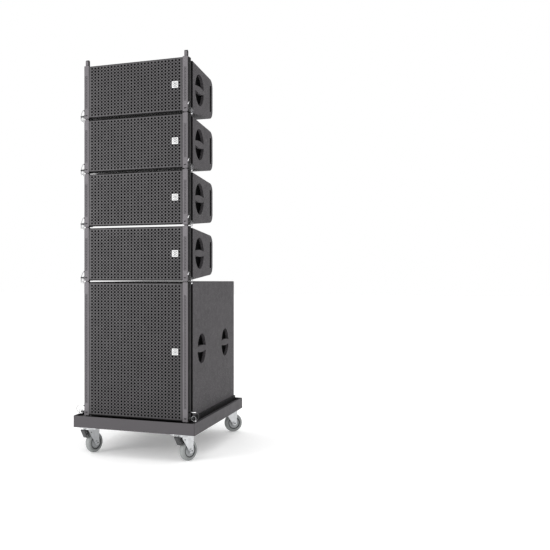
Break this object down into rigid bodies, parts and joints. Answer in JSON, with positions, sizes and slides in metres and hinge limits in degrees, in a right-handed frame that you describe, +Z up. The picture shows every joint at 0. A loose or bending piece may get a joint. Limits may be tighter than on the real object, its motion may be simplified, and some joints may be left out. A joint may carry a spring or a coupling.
{
  "type": "line array speaker",
  "caption": "Ground-stacked line array speaker: tapered cabinets pinned at front rails on a bass cabinet and a wheeled dolly; cabinets splay, pins pull out, casters roll.",
  "frame": {"origin": "on the floor, under the middle of the whole object's box", "axes": "+X to the right seen from the front, +Y towards the back, +Z up"},
  "size_m": [0.6396, 0.8777, 1.9365],
  "materials": {
    "cabinet_paint": "black textured paint on plywood",
    "handle_plastic": "fine grain",
    "grille_steel": "powder coat",
    "rail_aluminium": "dark grey coated extrusion",
    "link_steel": "black coated steel",
    "driver_metal": "black",
    "wire_rope": "galvanised wire rope",
    "pin_steel": "zinc plated",
    "dolly_paint": "dark grey powder coat",
    "zinc_steel": "bright zinc",
    "pedal_steel": "black coat",
    "wheel_rubber": "light grey"
  },
  "bodies": {
    "root": {"dolly_tray": "dolly_paint", "caster_mounts": "zinc_steel", "sub_cabinet": "cabinet_paint", "sub_handles": "handle_plastic", "sub_grille": "grille_steel", "sub_rails": "rail_aluminium", "sub_link_bars": "link_steel", "sub_electrics": "driver_metal", "lanyards_sub": "wire_rope"},
    "element_1": {"cabinet_1": "cabinet_paint", "handles_1": "handle_plastic", "grille_1": "grille_steel", "rails_1": "rail_aluminium", "link_bars_1": "link_steel", "electrics_1": "driver_metal", "lanyards_1": "wire_rope"},
    "element_2": {"cabinet_2": "cabinet_paint", "handles_2": "handle_plastic", "grille_2": "grille_steel", "rails_2": "rail_aluminium", "link_bars_2": "link_steel", "electrics_2": "driver_metal", "lanyards_2": "wire_rope"},
    "element_3": {"cabinet_3": "cabinet_paint", "handles_3": "handle_plastic", "grille_3": "grille_steel", "rails_3": "rail_aluminium", "link_bars_3": "link_steel", "electrics_3": "driver_metal", "lanyards_3": "wire_rope"},
    "element_4": {"cabinet_4": "cabinet_paint", "handles_4": "handle_plastic", "grille_4": "grille_steel", "rails_4": "rail_aluminium", "link_bars_4": "link_steel", "electrics_4": "driver_metal", "lanyards_4": "wire_rope"},
    "pin_1_left": {"pin_1_left": "pin_steel"},
    "pin_1_right": {"pin_1_right": "pin_steel"},
    "pin_2_left": {"pin_2_left": "pin_steel"},
    "pin_2_right": {"pin_2_right": "pin_steel"},
    "pin_3_left": {"pin_3_left": "pin_steel"},
    "pin_3_right": {"pin_3_right": "pin_steel"},
    "pin_4_left": {"pin_4_left": "pin_steel"},
    "pin_4_right": {"pin_4_right": "pin_steel"},
    "pin_sub_left": {"pin_sub_left": "pin_steel"},
    "pin_sub_right": {"pin_sub_right": "pin_steel"},
    "fork_front_left": {"fork_front_left": "zinc_steel"},
    "wheel_front_left": {"wheel_front_left": "wheel_rubber"},
    "brake_pedal_front_left": {"brake_pedal_front_left": "pedal_steel"},
    "fork_front_right": {"fork_front_right": "zinc_steel"},
    "wheel_front_right": {"wheel_front_right": "wheel_rubber"},
    "brake_pedal_front_right": {"brake_pedal_front_right": "pedal_steel"},
    "fork_rear_left": {"fork_rear_left": "zinc_steel"},
    "wheel_rear_left": {"wheel_rear_left": "wheel_rubber"},
    "fork_rear_right": {"fork_rear_right": "zinc_steel"},
    "wheel_rear_right": {"wheel_rear_right": "wheel_rubber"}
  },
  "joints": [
    {"name": "splay_1", "type": "hinge", "parent": "element_2", "child": "element_1", "pos_m": [0, -0.38554, 1.661], "axis": [-1, 0, 0], "range_deg": [0, 9]},
    {"name": "splay_2", "type": "hinge", "parent": "element_3", "child": "element_2", "pos_m": [0, -0.38554, 1.3955], "axis": [-1, 0, 0], "range_deg": [0, 9]},
    {"name": "splay_3", "type": "hinge", "parent": "element_4", "child": "element_3", "pos_m": [0, -0.38554, 1.13], "axis": [-1, 0, 0], "range_deg": [0, 9]},
    {"name": "splay_4", "type": "hinge", "parent": "root", "child": "element_4", "pos_m": [0, -0.38554, 0.8645], "axis": [-1, 0, 0], "range_deg": [0, 4.5]},
    {"name": "pin_1_left_pull", "type": "slide", "parent": "element_1", "child": "pin_1_left", "axis": [-1, 0, 0], "range_m": [0, 0.032], "deforming": ["lanyards_1"]},
    {"name": "pin_1_right_pull", "type": "slide", "parent": "element_1", "child": "pin_1_right", "axis": [1, 0, 0], "range_m": [0, 0.032], "deforming": ["lanyards_1"]},
    {"name": "pin_2_left_pull", "type": "slide", "parent": "element_2", "child": "pin_2_left", "axis": [-1, 0, 0], "range_m": [0, 0.032], "deforming": ["lanyards_2"]},
    {"name": "pin_2_right_pull", "type": "slide", "parent": "element_2", "child": "pin_2_right", "axis": [1, 0, 0], "range_m": [0, 0.032], "deforming": ["lanyards_2"]},
    {"name": "pin_3_left_pull", "type": "slide", "parent": "element_3", "child": "pin_3_left", "axis": [-1, 0, 0], "range_m": [0, 0.032], "deforming": ["lanyards_3"]},
    {"name": "pin_3_right_pull", "type": "slide", "parent": "element_3", "child": "pin_3_right", "axis": [1, 0, 0], "range_m": [0, 0.032], "deforming": ["lanyards_3"]},
    {"name": "pin_4_left_pull", "type": "slide", "parent": "element_4", "child": "pin_4_left", "axis": [-1, 0, 0], "range_m": [0, 0.032], "deforming": ["lanyards_4"]},
    {"name": "pin_4_right_pull", "type": "slide", "parent": "element_4", "child": "pin_4_right", "axis": [1, 0, 0], "range_m": [0, 0.032], "deforming": ["lanyards_4"]},
    {"name": "pin_sub_left_pull", "type": "slide", "parent": "root", "child": "pin_sub_left", "axis": [-1, 0, 0], "range_m": [0, 0.032], "deforming": ["lanyards_sub"]},
    {"name": "pin_sub_right_pull", "type": "slide", "parent": "root", "child": "pin_sub_right", "axis": [1, 0, 0], "range_m": [0, 0.032], "deforming": ["lanyards_sub"]},
    {"name": "swivel_front_left", "type": "hinge", "parent": "root", "child": "fork_front_left", "pos_m": [-0.245, -0.38554, 0.124], "axis": [0, 0, 1], "continuous": true},
    {"name": "wheel_front_left_roll", "type": "hinge", "parent": "fork_front_left", "child": "wheel_front_left", "pos_m": [-0.23542, -0.35923, 0.05], "axis": [0.9397, -0.342, 0], "continuous": true},
    {"name": "brake_front_left", "type": "hinge", "parent": "fork_front_left", "child": "brake_pedal_front_left", "pos_m": [-0.2491, -0.39682, 0.106], "axis": [0.9397, -0.342, 0], "range_deg": [0, 18]},
    {"name": "swivel_front_right", "type": "hinge", "parent": "root", "child": "fork_front_right", "pos_m": [0.245, -0.38554, 0.124], "axis": [0, 0, 1], "continuous": true},
    {"name": "wheel_front_right_roll", "type": "hinge", "parent": "fork_front_right", "child": "wheel_front_right", "pos_m": [0.25815, -0.36082, 0.05], "axis": [0.8829, -0.4695, 0], "continuous": true},
    {"name": "brake_front_right", "type": "hinge", "parent": "fork_front_right", "child": "brake_pedal_front_right", "pos_m": [0.23937, -0.39614, 0.106], "axis": [0.8829, -0.4695, 0], "range_deg": [0, 18]},
    {"name": "swivel_rear_left", "type": "hinge", "parent": "root", "child": "fork_rear_left", "pos_m": [-0.245, 0.37246, 0.124], "axis": [0, 0, 1], "continuous": true},
    {"name": "wheel_rear_left_roll", "type": "hinge", "parent": "fork_rear_left", "child": "wheel_rear_left", "pos_m": [-0.22776, 0.39452, 0.05], "axis": [0.788, -0.6157, 0], "continuous": true},
    {"name": "swivel_rear_right", "type": "hinge", "parent": "root", "child": "fork_rear_right", "pos_m": [0.245, 0.37246, 0.124], "axis": [0, 0, 1], "continuous": true},
    {"name": "wheel_rear_right_roll", "type": "hinge", "parent": "fork_rear_right", "child": "wheel_rear_right", "pos_m": [0.26706, 0.3897, 0.05], "axis": [0.6157, -0.788, 0], "continuous": true}
  ]
}
